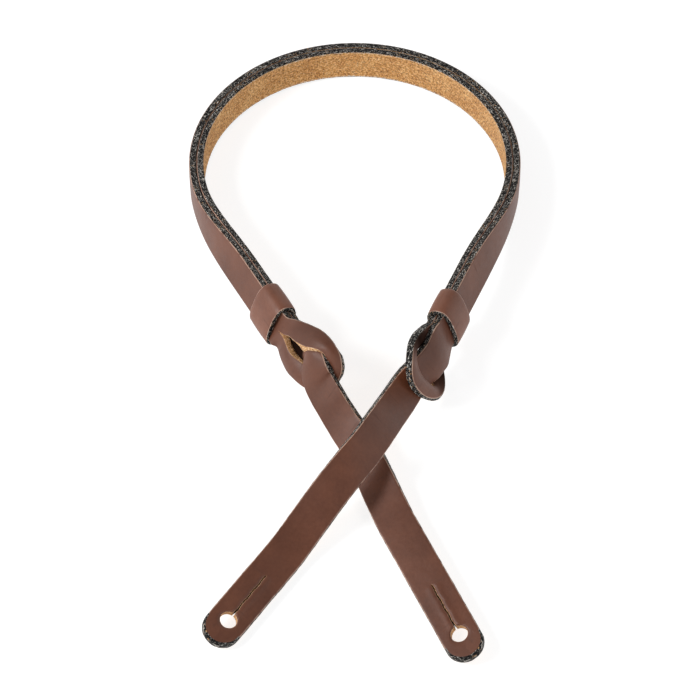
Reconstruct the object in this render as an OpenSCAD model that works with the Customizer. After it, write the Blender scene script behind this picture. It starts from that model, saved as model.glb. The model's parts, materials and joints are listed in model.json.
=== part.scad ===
// Narrow leather instrument strap made of two equal lengths of thick leather.
// The two straps lie one on the other round the neck loop.  Each passes
// through a long slit cut in the other one's end, which makes a sliding knot,
// and carries on as a tail with a button hole at its rounded tip.
// A short leather keeper above each knot holds the two layers together.
// Millimetres, +Z up.  The strap lies on the plane z = 0 with the loop
// standing on its lower edge; the origin is the middle of its footprint.
// Strap A is the outer layer, strap B is the inner layer.

/* [Leather] */
// Width of each strap
strap_w = 16; // [14:0.5:19]
// Thickness of the leather
strap_t = 3.1; // [2.6:0.1:3.4]
// Gap between the two layers round the loop
layer_gap = 0.3; // [0.2:0.05:0.5]

/* [Neck loop] */
// Radius of the round back of the loop, at the middle of the two layers
loop_r = 71.4; // [60:0.2:90]
// Length of the round part on each side of the middle
arc_len = 110; // [95:0.5:115]
// Length over which the right side straightens out
ease_right = 61.5; // [40:0.5:70]
// Length over which the left side straightens out
ease_left = 75; // [50:0.5:76]
// Tilt of the band from standing on edge, at the keepers and knots
knot_tilt = 20.5; // [15:0.5:32]

/* [Tails] */
// Direction of tail A where it crosses tail B, turned from the loop's back
cross_dir_a = 130.5; // [126:0.5:134]
// Direction of tail A at its tip, turned from the loop's back
tail_dir_a = 124; // [120:0.5:128]
// Direction of tail B, turned from the loop's back
tail_dir_b = 114; // [110:0.5:118]
// Tilt of the tails from standing on edge, at their tips
tip_tilt = 72.5; // [60:0.5:80]
// Distance along the strap from the middle of the loop to the button hole
hole_at = 388.5; // [386:0.5:410]
// Height of tail A above the ground where it crosses over tail B
cross_lift = 13.5; // [13.5:0.5:18]
// Distance along the strap to the flex line of each end
flex_at = 332; // [328:1:338]

/* [Button hole] */
// Diameter of the round hole
hole_d = 7; // [6:0.1:9]
// Length of the slit that runs up from the hole's rim
slit_len = 22.5; // [15:1:28]
// Width of the slit
slit_w = 0.8; // [0.4:0.1:1.2]
// Distance from the middle of the hole to the tip
tip_len = 12.2; // [9.5:0.1:14]

/* [Sliding knots] */
// Length of the slit that the other strap passes through
knot_slit = 33; // [32:0.5:36]
// Leather left beyond the slit
knot_end = 6.5; // [5:0.5:8]
// Height that the bulk of a knot holds the strap off the ground
knot_lift = 6; // [5.5:0.5:8]

/* [Keepers] */
// Length of a keeper along the strap
keeper_len = 15; // [10:0.5:16]
// Leather thickness of a keeper
keeper_t = 2.2; // [1.8:0.1:2.4]
// Room between a keeper and the straps inside it, on each side
keeper_gap = 0.3; // [0.25:0.05:0.5]
// Wire diameter of the staple that closes a keeper
staple_d = 0.9; // [0.7:0.1:1]
// Width of the staple
staple_span = 7; // [5:0.5:8]

/* [Hidden] */

pair_t = 2 * strap_t + layer_gap;        // both layers together
mid_n = (strap_t + layer_gap) / 2;       // middle of one layer, from the middle of the pair
twist_at = 130;                          // where the band starts to lean outwards
straight_at = 185;                       // where each side becomes straight
keeper_at = 211;                         // middle of each keeper
knot_at = 222.5;                         // where the knot's slit starts
free_at = 262;                           // where the tails leave their knots
lean_at = 234.5;                         // where the tails start to lean further, inside the knots
tilt_to = 330;                           // where the tails stop leaning further
flat_at = 352;                           // where the tips become flat and straight
tip_at = hole_at + tip_len;
step = 4;                                // spacing of the band's cross-sections
R = 1; L = -1;                           // right side and left side

function ease(x) = let (c = min(1, max(0, x))) c * c * (3 - 2 * c);
function deg(x) = x * 180 / PI;

// ---- plan of the strap: direction of travel, turned from the loop's back ----
function side_ease(side) = side == R ? ease_right : ease_left;
function side_turn(side) = deg((arc_len + side_ease(side) / 2) / loop_r);
function tail_dir(side) = side == R ? tail_dir_a : tail_dir_b;
function mid_dir(side) = side == R ? cross_dir_a : tail_dir_b;
function turn(side, s) = let (e = side_ease(side), d = s - arc_len)
    d < 0 ? deg(s / loop_r)
    : (d < e ? deg((arc_len + d - d * d / (2 * e)) / loop_r) : side_turn(side))
      + (mid_dir(side) - side_turn(side)) * ease((s - free_at) / 44)
      + (tail_dir(side) - mid_dir(side)) * ease((s - 310) / (flat_at - 310));
function tilt(s) = knot_tilt * ease((s - twist_at) / (straight_at - twist_at))
    + (tip_tilt - knot_tilt) * ease((s - lean_at) / (tilt_to - lean_at));
// both sides rise to their knots, tail B comes down at once, and tail A, on
// the right-hand side of the loop, rises over it before it comes down
function lift(side, s) = knot_lift * ease((s - 110) / (straight_at - 110))
    + (side == L ? -knot_lift * ease((s - (free_at - 4)) / 21)
       : (cross_lift - knot_lift) * ease((s - (free_at - 6)) / 34)
         - cross_lift * ease((s - 298) / (flat_at - 298)));
// thickness that rests on the ground: two layers, then one
function rest_t(s) = pair_t + (strap_t - pair_t) * ease((s - free_at) / 40);

plan_n = 420;
function plan_list(side) = [for (i = 0, p = [0, 0];
    i <= plan_n;
    p = p + [side * cos(turn(side, i + 0.5)), -sin(turn(side, i + 0.5))], i = i + 1) p];
plan_r = plan_list(R);
plan_l = plan_list(L);
function plan(side, s) = let (q = side == R ? plan_r : plan_l, i = floor(s), f = s - i)
    q[i] * (1 - f) + q[min(i + 1, plan_n)] * f;

// frame of the band: t along it, o square outwards from the loop in plan,
// n its outer face's normal, w across its width towards the upper edge
function vec_t(side, s) = [side * cos(turn(side, s)), -sin(turn(side, s)), 0];
function vec_o(side, s) = [side * sin(turn(side, s)), cos(turn(side, s)), 0];
function vec_n(side, s) = cos(tilt(s)) * vec_o(side, s) + [0, 0, sin(tilt(s))];
function vec_w(side, s) = -sin(tilt(s)) * vec_o(side, s) + [0, 0, cos(tilt(s))];
function high(side, s) = strap_w / 2 * cos(tilt(s)) + rest_t(s) / 2 * sin(tilt(s)) + lift(side, s);

// the footprint, which puts the origin in its middle
tip_low = [for (side = [R, L]) let (c = plan(side, hole_at + tip_len - strap_w / 2),
        t = vec_t(side, tip_at), w = vec_w(side, tip_at), n = vec_n(side, tip_at))
    c[1] - strap_w / 2 * sqrt(t[1] * t[1] + w[1] * w[1]) - strap_t / 2 * abs(n[1])];
side_pts = [for (side = [R, L], s = [60 : 2 : 200], k = [-1, 1])
    plan(side, s)[0] + pair_t / 2 * vec_n(side, s)[0] + k * strap_w / 2 * vec_w(side, s)[0]];
mid_x = (max(side_pts) + min(side_pts)) / 2;
mid_y = (pair_t / 2 + min(tip_low)) / 2;
function at(side, s) = let (p = plan(side, s)) [p[0] - mid_x, p[1] - mid_y, high(side, s)];

// ---- a strap as rows of eight points, four for each half of its width ----
// a half is [u, n, turned]: its middle across the width and off the band's
// middle, and how far its section is turned
function half_pts(side, s, h, hw, k, ht) = let (p = at(side, s), n = vec_n(side, s), w = vec_w(side, s),
        a = h[2], du = [cos(a), -sin(a) * k], dn = [sin(a) * k, cos(a)], c = [h[0] * k, h[1]],
        q = [c - k * hw * du - ht * dn, c - k * hw * du + ht * dn,
             c + k * hw * du + ht * dn, c + k * hw * du - ht * dn])
    [for (e = q) p + e[0] * w + e[1] * n];
// rows: [side, s, half [u, n, turned], half of the half-width, open, half-thickness]
function row_pts(r) = concat(half_pts(r[0], r[1], r[2], r[3], -1, r[5]), half_pts(r[0], r[1], r[2], r[3], 1, r[5]));

// points of a row: 0,1 inner edge and 2,3 outer edge of the lower half,
// 4,5 inner edge and 6,7 outer edge of the upper half.  Where the strap is
// whole the two inner edges are the same.
module strap(rows) {
    m = len(rows);
    pts = [for (r = rows) each row_pts(r)];
    function id(i, k) = 8 * i + (rows[i][4] ? k : (k == 4 ? 0 : (k == 5 ? 1 : k)));
    function quad(i, a, b) = [[id(i, a), id(i, b), id(i + 1, b)], [id(i, a), id(i + 1, b), id(i + 1, a)]];
    body = [for (i = [0 : m - 2]) each concat(
        quad(i, 1, 2), quad(i, 2, 3), quad(i, 3, 0),
        quad(i, 4, 7), quad(i, 7, 6), quad(i, 6, 5),
        rows[i][4] || rows[i + 1][4] ? concat(quad(i, 0, 1), quad(i, 5, 4)) : [])];
    cap0 = [[id(0, 0), id(0, 3), id(0, 2)], [id(0, 0), id(0, 2), id(0, 1)],
            [id(0, 0), id(0, 1), id(0, 6)], [id(0, 0), id(0, 6), id(0, 7)]];
    e = m - 1;
    cap1 = [[id(e, 0), id(e, 2), id(e, 3)], [id(e, 0), id(e, 1), id(e, 2)],
            [id(e, 0), id(e, 6), id(e, 1)], [id(e, 0), id(e, 7), id(e, 6)]];
    polyhedron(points = pts, faces = concat(body, cap0, cap1), convexity = 10);
}

// ---- the sliding knot, measured from the start of its slit ----
spread_len = knot_slit * 0.36;           // legs opening
cross_len = knot_slit * 0.34;            // the two straps changing sides
leg_out = strap_w / 2 + 3.7;             // middle of an open leg, across the width
function opened(a) = a < spread_len ? ease(a / spread_len)
    : 1 - ease((a - spread_len - cross_len) / (knot_slit - spread_len - cross_len));
function crossed(a) = ease((a - spread_len) / cross_len);
// a leg of the slit: the layer starts at side k of the pair and ends at -k
function leg(a, k) = let (f = k * (1 - 2 * crossed(a)), g = opened(a))
    [strap_w / 4 + (leg_out - strap_w / 4) * g, (mid_n + 1.1 * g) * f, 40 * g * f];
// the strap that passes through, drawn slightly narrower inside the knot
function through_n(a, k) = -k * mid_n * (1 - 2 * crossed(a));
function through_w(a) = strap_w / 4 - 0.42 * opened(a);
function whole(side, s, n, h = strap_w / 4, ht = strap_t / 2) = [side, s, [h, n, 0], h, false, ht];

// rows of the slit end, from its tip back to the start of the slit
function slit_end(side, k) = concat(
    [for (e = [0 : 3]) let (d = (1 - cos(30 * e)) , x = knot_end * 0.5 * (1 - sin(30 * e)))
        whole(side, knot_at + knot_slit + knot_end - 0.02 - (knot_end * 0.5 - x), -k * mid_n,
              strap_w / 4 * (0.62 + 0.38 * sin(30 * e)))],
    [whole(side, knot_at + knot_slit, -k * mid_n)],
    [for (j = [11 : -1 : 1]) let (a = knot_slit * j / 12) [side, knot_at + a, leg(a, k), strap_w / 4, true, strap_t / 2]]);

// rows of a strap that runs on through the other one's slit, out to a distance
function run_through(side, k, stop) = concat(
    [for (j = [0 : 12]) let (a = knot_slit * j / 12) whole(side, knot_at + a, through_n(a, k), through_w(a))],
    [whole(side, knot_at + knot_slit + knot_end / 2, k * mid_n), whole(side, free_at - 1, k * mid_n)],
    tail_rows(side, k, free_at + 3, stop));
function tail_n(s, k) = k * mid_n * (1 - ease((s - free_at) / 40));
function tail_rows(side, k, from, stop) = let (m = max(1, round((stop - from) / step)))
    [for (j = [0 : m]) let (s = from + (stop - from) * j / m) whole(side, s, tail_n(s, k))];

// rows round the loop, from one side's knot to the other side's
function loop_rows(n) = let (m = round(knot_at / step), d = knot_at / m) concat(
    [for (j = [m - 1 : -1 : 1]) whole(L, d * j, n)],
    [whole(R, 0, n)],
    [for (j = [1 : m - 1]) whole(R, d * j, n)]);
// the left-hand rows run backwards, so their halves keep the same order
function rev(v) = [for (i = [len(v) - 1 : -1 : 0]) v[i]];

// flex line: a small gap between the strap and its end, which has a rounded nose
flex_gap = strap_t / 2 + 0.35;

module strap_a() {
    color([0.36, 0.24, 0.20])
        strap(concat(slit_end(L, 1), [whole(L, knot_at, mid_n)], loop_rows(mid_n),
            run_through(R, -1, flex_at - flex_gap)));
}

module strap_b() {
    color([0.42, 0.28, 0.23])
        strap(concat(rev(run_through(L, 1, flex_at - flex_gap)), loop_rows(-mid_n),
            [whole(R, knot_at, -mid_n)], rev(slit_end(R, -1))));
}

// ---- placing plain solids on the band: x along it, z across its width ----
module on_band(side, s, n = 0) {
    t = vec_t(side, s); w = vec_w(side, s); v = side * vec_n(side, s);
    p = at(side, s) + n * vec_n(side, s);
    multmatrix([[t[0], v[0], w[0], p[0]], [t[1], v[1], w[1], p[1]], [t[2], v[2], w[2], p[2]], [0, 0, 0, 1]])
        children();
}

// a tip: flat, rounded, with the keyhole button hole through it
module tip(side) {
    tl = tip_at - flat_at;
    on_band(side, flat_at) difference() {
        rotate([90, 0, 0]) translate([0, 0, -strap_t / 2]) linear_extrude(strap_t) union() {
            translate([0, -strap_w / 2]) square([tl - strap_w / 2, strap_w]);
            translate([tl - strap_w / 2, 0]) circle(d = strap_w, $fn = 96);
        }
        translate([hole_at - flat_at, 0, 0]) rotate([90, 0, 0])
            cylinder(d = hole_d, h = strap_t + 2, center = true, $fn = 64);
        translate([hole_at - flat_at - hole_d / 2 - slit_len, -strap_t, -slit_w / 2])
            cube([slit_len + hole_d / 2, 2 * strap_t, slit_w]);
    }
}

// the end of a strap beyond its flex line
module strap_end(side, k) {
    union() {
        tip(side);
        rows = concat(
            [for (e = [15 : 25 : 65]) whole(side, flex_at - strap_t / 2 * cos(e), tail_n(flex_at, k),
                ht = strap_t / 2 * sin(e))],
            tail_rows(side, k, flex_at, flat_at - 3),
            [for (d = [-0.2, 2]) whole(side, flat_at + d, 0, strap_w / 4 - 0.03, strap_t / 2 - 0.06)]);
        strap(side == R ? rows : rev(rows));
    }
}

module strap_a_end() { color([0.36, 0.24, 0.20]) strap_end(R, -1); }
module strap_b_end() { color([0.42, 0.28, 0.23]) strap_end(L, 1); }

// ---- keepers and their staples ----
kin_n = pair_t / 2 + keeper_gap;         // inside half-thickness
kin_w = strap_w / 2 + keeper_gap;        // inside half-width
module rounded(hx, hy, r) {
    translate([-hx + r, -hy]) square([2 * (hx - r), 2 * hy]);
    translate([-hx, -hy + r]) square([2 * hx, 2 * (hy - r)]);
    for (i = [-1, 1], j = [-1, 1]) translate([i * (hx - r), j * (hy - r)]) circle(r = r, $fn = 48);
}
module keeper(side) {
    on_band(side, keeper_at) difference() {
        rotate([90, 0, 90]) translate([0, 0, -keeper_len / 2]) linear_extrude(keeper_len) difference() {
            rounded(kin_n + keeper_t, kin_w + keeper_t, keeper_t + 0.8);
            rounded(kin_n, kin_w, 0.8);
        }
        for (k = [-1, 1]) translate([0, -side * (kin_n + keeper_t / 2), k * (staple_span - staple_d) / 2])
            rotate([90, 0, 0]) cylinder(d = staple_d + 0.1, h = keeper_t + 1, center = true, $fn = 32);
    }
}
module staple(side) {
    out = kin_n + keeper_t + staple_d / 2 + 0.05;
    legl = out - kin_n - 0.3;
    on_band(side, keeper_at) union() {
        translate([0, -side * out, 0]) cylinder(d = staple_d, h = staple_span, center = true, $fn = 32);
        for (k = [-1, 1]) translate([0, -side * (out - legl / 2), k * (staple_span - staple_d) / 2])
            rotate([90, 0, 0]) cylinder(d = staple_d, h = legl, center = true, $fn = 32);
    }
}
module keeper_left() { color([0.45, 0.30, 0.25]) keeper(L); }
module keeper_right() { color([0.45, 0.30, 0.25]) keeper(R); }
module keeper_left_staple() { color([0.75, 0.75, 0.77]) staple(L); }
module keeper_right_staple() { color([0.75, 0.75, 0.77]) staple(R); }

strap_a();
strap_a_end();
strap_b();
strap_b_end();
keeper_left();
keeper_left_staple();
keeper_right();
keeper_right_staple();
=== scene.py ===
import json
import math
import bpy
import bmesh
import numpy as np
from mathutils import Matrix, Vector


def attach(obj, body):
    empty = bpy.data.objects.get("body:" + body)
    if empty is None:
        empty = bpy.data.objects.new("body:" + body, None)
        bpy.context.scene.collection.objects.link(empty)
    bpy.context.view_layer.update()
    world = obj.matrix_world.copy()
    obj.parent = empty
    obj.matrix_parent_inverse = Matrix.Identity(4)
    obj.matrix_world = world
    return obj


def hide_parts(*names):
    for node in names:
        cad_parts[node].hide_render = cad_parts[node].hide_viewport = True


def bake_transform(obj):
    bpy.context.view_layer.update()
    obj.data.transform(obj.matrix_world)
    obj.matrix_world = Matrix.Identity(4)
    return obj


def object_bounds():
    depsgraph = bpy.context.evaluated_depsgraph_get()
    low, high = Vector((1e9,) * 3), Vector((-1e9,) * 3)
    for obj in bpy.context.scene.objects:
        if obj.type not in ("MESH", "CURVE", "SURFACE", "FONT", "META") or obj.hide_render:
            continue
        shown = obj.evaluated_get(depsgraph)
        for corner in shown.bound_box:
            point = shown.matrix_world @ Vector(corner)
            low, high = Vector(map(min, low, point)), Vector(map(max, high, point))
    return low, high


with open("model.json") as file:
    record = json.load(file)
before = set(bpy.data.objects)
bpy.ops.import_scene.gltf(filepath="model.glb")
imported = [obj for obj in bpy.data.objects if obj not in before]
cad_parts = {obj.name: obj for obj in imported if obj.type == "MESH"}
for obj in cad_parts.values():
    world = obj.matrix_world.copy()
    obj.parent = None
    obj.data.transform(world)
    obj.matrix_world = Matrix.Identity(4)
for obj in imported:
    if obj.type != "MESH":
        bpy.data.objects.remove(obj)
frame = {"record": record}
cad_lo, cad_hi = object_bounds()
record = frame["record"]
MM = 0.001
R, L = 1, -1

# ------------------------------------------------------------------ the strap's own dimensions (mm)
STRAP_W, STRAP_T, GAP = 16.0, 3.1, 0.3
LOOP_R, ARC = 71.4, 110.0
EASE = {R: 61.5, L: 75.0}
KNOT_TILT, TIP_TILT = 20.5, 72.5
MID_DIR = {R: 130.5, L: 114.0}
TAIL_DIR = {R: 124.0, L: 114.0}
HOLE_AT, HOLE_R, SLIT, SLIT_W, TIP_LEN = 388.5, 3.5, 22.5, 0.8, 12.2
CROSS_LIFT, KNOT_LIFT = 13.5, 6.0
TWIST, STRAIGHT, KEEPER, KNOT, FREE, LEAN, TILT_TO, FLAT, FLEX = 130.0, 185.0, 211.0, 222.5, 262.0, 234.5, 330.0, 352.0, 332.0
TIP_AT = HOLE_AT + TIP_LEN
PAIR = 2 * STRAP_T + GAP
MID_N = (STRAP_T + GAP) / 2
HW = STRAP_W / 2


def ease(x):
    c = np.clip(x, 0.0, 1.0)
    return c * c * (3 - 2 * c)


def turn(side, s):
    e, d = EASE[side], s - ARC
    end = np.degrees((ARC + e / 2) / LOOP_R)
    eased = np.where(d < e, np.degrees((ARC + d - d * d / (2 * e)) / LOOP_R), end)
    return (np.where(d < 0, np.degrees(s / LOOP_R), eased)
            + (MID_DIR[side] - end) * ease((s - FREE) / 44)
            + (TAIL_DIR[side] - MID_DIR[side]) * ease((s - 310) / (FLAT - 310)))


def tilt(s):
    return KNOT_TILT * ease((s - TWIST) / (STRAIGHT - TWIST)) + (TIP_TILT - KNOT_TILT) * ease((s - LEAN) / (TILT_TO - LEAN))


def lift(side, s):
    v = KNOT_LIFT * ease((s - 110) / (STRAIGHT - 110))
    if side == L:
        return v - KNOT_LIFT * ease((s - (FREE - 4)) / 21)
    return v + (CROSS_LIFT - KNOT_LIFT) * ease((s - (FREE - 6)) / 34) - CROSS_LIFT * ease((s - 298) / (FLAT - 298))


def rest_t(s):
    return PAIR + (STRAP_T - PAIR) * ease((s - FREE) / 40)


def plan_table(side):
    mids = np.arange(420) + 0.5
    h = np.radians(turn(side, mids))
    return (np.concatenate([[0], np.cumsum(side * np.cos(h))]), np.concatenate([[0], np.cumsum(-np.sin(h))]))


PLAN = {side: plan_table(side) for side in (R, L)}
SHIFT = np.zeros(3)


def at(side, s):
    """Centre of the pair of straps at distance s, and the band's t, n, w there: arrays of shape (len, 3)."""
    s = np.atleast_1d(np.asarray(s, float))
    g = np.arange(421.0)
    x, y = np.interp(s, g, PLAN[side][0]), np.interp(s, g, PLAN[side][1])
    h, a = np.radians(turn(side, s)), np.radians(tilt(s))
    z = HW * np.cos(a) + rest_t(s) / 2 * np.sin(a) + lift(side, s)
    t = np.stack([side * np.cos(h), -np.sin(h), 0 * h], -1)
    o = np.stack([side * np.sin(h), np.cos(h), 0 * h], -1)
    up = np.array([0, 0, 1.0])
    n = np.cos(a)[:, None] * o + np.sin(a)[:, None] * up
    w = -np.sin(a)[:, None] * o + np.cos(a)[:, None] * up
    return np.stack([x, y, z], -1) + SHIFT, t, n, w


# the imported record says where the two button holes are: the path is laid through them
holes = {m["name"]: np.array(m["pos_m"]) / MM for m in record["mounts"]}
SHIFT = np.append(((holes["button_hole_a"] - at(R, HOLE_AT)[0][0]) + (holes["button_hole_b"] - at(L, HOLE_AT)[0][0]))[:2] / 2, 0.0)


LAID_TILT = {R: ([LEAN, 250, 260, 275, 290, 305, 320, 330], [KNOT_TILT, 38, 43.5, 46, 50, 60, 69, TIP_TILT]),
             L: ([208, 215, 219, 222.5, 234.5, 248, 258, 270, 280, 290, 300, 310, 320, 330], [KNOT_TILT, 22.5, 26, 29, 32, 34, 38, 39.5, 42, 48, 57, 65, 70.5, TIP_TILT])}
LAID_OUT = {R: ([246, 254, 262, 270, 280, 290, 300, 308], [0, -0.8, -1.5, -1.7, -1.4, -0.9, -0.3, 0]),
            L: ([250, 258, 266, 275, 286, 300, 315, 328], [0, -0.5, -0.7, -1.4, -1.7, -1.4, -0.6, 0])}


def hermite(sc, vc, s):
    """Smooth curve through control values vc at sc."""
    sc, vc = np.asarray(sc, float), np.asarray(vc, float)
    m = np.gradient(vc, sc, axis=0) if len(sc) > 2 else np.repeat((vc[1:] - vc[:1]) / (sc[1] - sc[0]), 2, 0)
    i = np.clip(np.searchsorted(sc, s, side="right") - 1, 0, len(sc) - 2)
    hh = (sc[i + 1] - sc[i])
    u = (s - sc[i]) / hh
    sh = (-1,) + (1,) * (vc.ndim - 1)
    u, hh = u.reshape(sh), hh.reshape(sh)
    return ((2 * u**3 - 3 * u**2 + 1) * vc[i] + (u**3 - 2 * u**2 + u) * hh * m[i]
            + (-2 * u**3 + 3 * u**2) * vc[i + 1] + (u**3 - u**2) * hh * m[i + 1])


def laid(side, s):
    """The band as it lies: close to the CAD's path, with the tails' own lean and drift beyond the keepers."""
    p, t, n, w = at(side, s)
    s = np.atleast_1d(np.asarray(s, float))
    st, vt = LAID_TILT[side]
    so, vo = LAID_OUT[side]
    a = np.radians(np.where((s > st[0]) & (s < st[-1]), hermite(st, vt, np.clip(s, st[0], st[-1])), tilt(s)))
    out = np.where((s > so[0]) & (s < so[-1]), hermite(so, vo, np.clip(s, so[0], so[-1])), 0.0)
    up = np.array([0, 0, 1.0])
    h = np.radians(turn(side, s))
    o = np.stack([side * np.sin(h), np.cos(h), 0 * s], -1)
    n = np.cos(a)[:, None] * o + np.sin(a)[:, None] * up
    w = -np.sin(a)[:, None] * o + np.cos(a)[:, None] * up
    return p + out[:, None] * o, t, n, w


def tail_n(s, k):
    return k * MID_N * (1 - ease((s - FREE) / 40))


# ------------------------------------------------------------------ rows of a strap
# A row holds the grain-side corners.  whole row: lower, upper corner.  open row: inner and outer corner of each leg.
class Row:
    def __init__(self, s, up, lo, whole, hA=0.0, hB=0.0, ri=0.0, dish=0.0, last=False):
        self.s, self.up, self.lo, self.whole = s, up, lo, whole
        self.hA, self.hB, self.ri, self.dish, self.last = hA, hB, ri, dish, last
        # dark: painted shade for each leg, darkening where the knots shade the leather
        self.slant, self.dark, self.ro, self.lip = (0.0, 0.0), (0.0, 0.0), RO, (0.0, 0.0)


def whole_row(s, low, high, h):
    mid = (low + high) / 2
    return Row(s, (mid, high), (mid, low), True, hA=h)


def band_rows(side, ss, n_of, h):
    p, t, n, w = laid(side, ss)
    off = np.array([n_of(x) for x in ss]) + STRAP_T / 2
    low, high = p - HW * w + off[:, None] * n, p + HW * w + off[:, None] * n
    return [whole_row(x, low[i], high[i], h) for i, x in enumerate(ss)]


def knot_frame(side):
    p, t, n, w = at(side, KNOT)
    p, t, n, w = p[0], t[0], n[0], w[0]
    return lambda a, u, nn: p + a * t + u * w + nn * n


def band_corner(side, s, n_off, k):
    p, t, n, w = laid(side, s)
    return p[0] + k * HW * w[0] + (n_off + STRAP_T / 2) * n[0]


def through_rows(side, k, controls, tail_h):
    """The strap that runs through the other one's slit, from s = 216 to 278.  controls: (s, low, high, arch) in the knot's frame."""
    loc = knot_frame(side)
    sc, lo, hi, ar = [], [], [], []
    for s in (212.0, 217.0, 221.0):
        sc.append(s); lo.append(band_corner(side, s, -k * MID_N, -1)); hi.append(band_corner(side, s, -k * MID_N, 1)); ar.append(0.1)
    for s, a, b, h in controls:
        sc.append(s); lo.append(loc(*a)); hi.append(loc(*b)); ar.append(h)
    for s in (259.0, 266.0, 272.0, 278.0, 284.0):
        sc.append(s); lo.append(band_corner(side, s, tail_n(s, k), -1)); hi.append(band_corner(side, s, tail_n(s, k), 1)); ar.append(tail_h)
    ss = np.arange(217.0, 278.01, 0.55)
    lo, hi, ar = hermite(sc, lo, ss), hermite(sc, hi, ss), hermite(sc, ar, ss)
    rows = [whole_row(x, lo[i], hi[i], ar[i]) for i, x in enumerate(ss)]
    # painted shade on the inner strap: dark where it lies in the pocket under the slit, faint further on towards the
    # tail
    for r in rows:
        if side == L:
            d = float(ease((r.s - 223.0) / 2) * (1 - ease((r.s - 239.0) / 3.2)) + 0.14 * ease((r.s - 243.0) / 6) * (1 - ease((r.s - 262.0) / 16)))
            r.dark = (d, d)
    return rows


def slit_end_rows(side, k, upper, lower, mid):
    """The slit end, from the start of its slit to the middle of its closed end.  k is the layer's side before the knot.
    upper, lower: (inner, outer, arch) along each leg; mid: the same at the middle of the closed end."""
    loc = knot_frame(side)
    legs = []
    for leg, j in ((upper, 1), (lower, -1)):
        si, so, h, sl, dk = [], [], [], [], []
        for s in (216.0, 219.5, KNOT):
            p, t, n, w = laid(side, s)
            c = p[0] + (k * MID_N + STRAP_T / 2) * n[0]
            si.append(c); so.append(c + j * HW * w[0]); h.append(0.1); sl.append(0.0); dk.append(0.0)
        # a control may carry a slant and a painted shade value after the arch
        for a, b, arch, *more in list(leg) + [mid]:
            si.append(loc(*a)); so.append(loc(*b)); h.append(arch)
            sl.append(more[0] if more else 0.0); dk.append(more[1] if len(more) > 1 else 0.0)
        si, so, h = np.array(si), np.array(so), np.array(h)
        m = (si + so) / 2
        d = np.concatenate([[0], np.cumsum(np.linalg.norm(np.diff(m, axis=0), axis=1))])
        d = d - d[2]
        num = 72
        q = np.linspace(0, d[-1], num)
        legs.append((hermite(d, si, q), hermite(d, so, q), hermite(d, h, q), np.interp(q, d, sl), np.interp(q, d, dk)))
    rows = []
    (ui, uo, uh, us, ud), (li, lo, lh, ls, ld) = legs
    for i in range(num):
        f = i / (num - 1)
        whole = i == 0
        r = Row(KNOT + 36.25 * f, (ui[i], uo[i]), (li[i], lo[i]), whole, hA=0.1 if whole else 0.0,
                hB=0.0, ri=0.0 if whole else min(0.35, 0.35 * i / 3), last=i == num - 1)
        r.hB_up, r.hB_lo = (0.0, 0.0) if whole else (uh[i] * min(1, i / 6), lh[i] * min(1, i / 6))
        r.fadeA = max(0.0, 1 - i / 5) * 0.1
        if not whole:
            r.slant, r.dark = (us[i], ls[i]), (ud[i], ld[i])
        rows.append(r)
    return rows


def tip_rows(side, h):
    """The flat end with its keyhole button hole, from s = FLAT to the tip."""
    p, t, n, w = at(side, FLAT)
    p, t, n, w = p[0], t[0], n[0], w[0]
    g = lambda s, x: p + (s - FLAT) * t + x * w + (STRAP_T / 2) * n
    start = HOLE_AT - HOLE_R - SLIT
    rows = [whole_row(s, g(s, -HW), g(s, HW), h) for s in np.arange(FLAT, start - 0.4, 0.8)]
    rows.append(whole_row(start, g(start, -HW), g(start, HW), h))
    join = HOLE_AT - HOLE_R * math.cos(math.asin(SLIT_W / 2 / HOLE_R))
    for s in np.concatenate([[start + 0.25, start + 0.6], np.arange(start + 1.1, join - 0.2, 0.55)]):
        f = min(1.0, (s - start) / 1.2)
        near = math.exp(-((join - s) / 1.6) ** 2)
        x = (0.27 + (SLIT_W / 2 - 0.27) * near) * f ** 0.6
        c = 0.13 * math.sin(0.9 * s) + 0.04 * math.sin(2.9 * s + side)
        r = Row(s, (g(s, x + c * f * (1 - near)), g(s, HW)), (g(s, -x + c * f * (1 - near)), g(s, -HW)), False, hA=h, ri=0.3 * f + 0.1 * near, dish=0.20 * f)
        r.lip = (0.22 * f, 0.42 * f) if side == R else (0.42 * f, 0.22 * f)
        r.slant = (0.285 * f * (1 - near), 0.285 * f * (1 - near))
        rows.append(r)
    phi0, num = math.asin(SLIT_W / 2 / HOLE_R), 34
    flat_len, cap = (TIP_AT - HW) - join, math.pi / 2 * HW
    for i in range(num + 1):
        f = i / num
        phi = phi0 + (math.pi - phi0) * f
        si, xi = HOLE_AT - HOLE_R * math.cos(phi), HOLE_R * math.sin(phi)
        d = (flat_len + cap) * (f + 0.10 * math.sin(2 * math.pi * f) / 2)
        if d < flat_len:
            so, xo = join + d, HW
        else:
            b = (d - flat_len) / HW
            so, xo = TIP_AT - HW + HW * math.sin(b), HW * math.cos(b)
        if i == num:
            si, xi, so, xo = HOLE_AT + HOLE_R, 0.0, TIP_AT, 0.0
        r = Row(HOLE_AT + 8 * f, (g(si, xi), g(so, xo)), (g(si, -xi), g(so, -xo)), False, hA=h * (1 - f), ri=0.4, dish=0.45, last=i == num)
        fade = max(0.0, 1 - i / 5)
        r.lip = (0.22 * fade, 0.42 * fade) if side == R else (0.42 * fade, 0.22 * fade)
        r.ro = RO + 0.55 * float(ease((d - flat_len * 0.55) / 5.0))
        rows.append(r)
    return rows


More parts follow.
